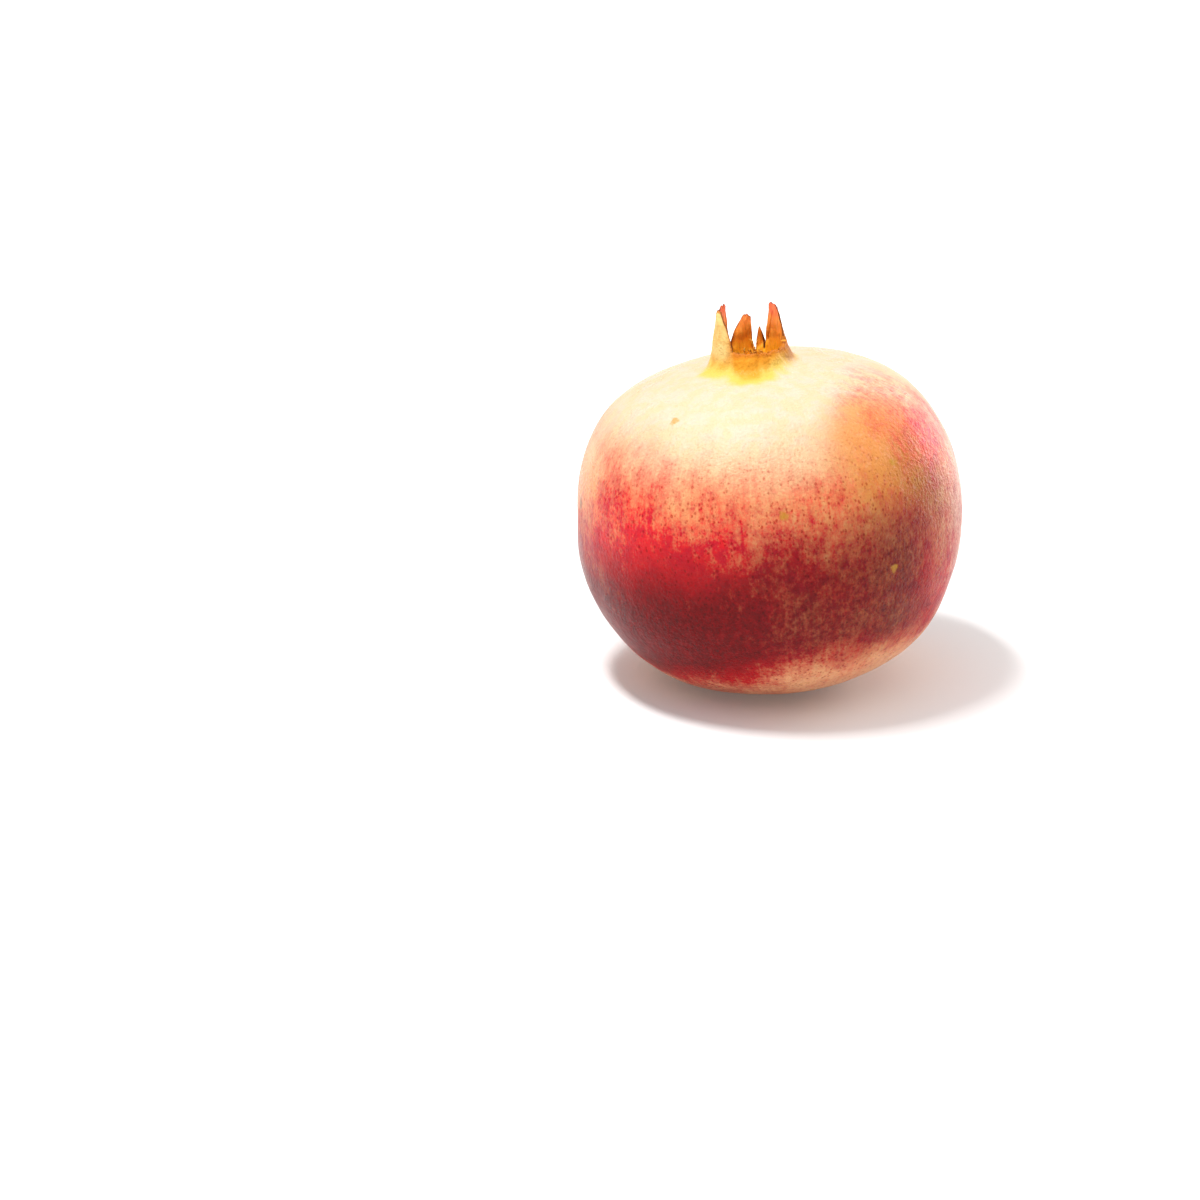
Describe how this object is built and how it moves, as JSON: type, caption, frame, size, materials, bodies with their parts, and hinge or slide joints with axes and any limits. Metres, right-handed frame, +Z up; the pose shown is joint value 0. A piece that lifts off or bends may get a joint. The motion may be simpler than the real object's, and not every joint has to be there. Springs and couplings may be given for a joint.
{
  "type": "pomegranate",
  "caption": "Whole ripe pomegranate with a blushed yellow and red rind, an open lobed calyx crown holding dried stamens, and a cut stalk underneath.",
  "frame": {"origin": "below the middle of the fruit's bounding box, on the plane that it rests on", "axes": "+Z up through the calyx crown, which leans a little to -X; -Y is the side that faces the viewer"},
  "size_m": [0.0974, 0.0968, 0.0968],
  "materials": {
    "rind": "smooth leathery fruit skin with a soft natural gloss, cream yellow at the crown blushing to speckled crimson",
    "dried_stamens": "dry, matt, brown plant fibre"
  },
  "bodies": {
    "root": {"fruit": "rind", "stamens": "dried_stamens"}
  },
  "joints": []
}
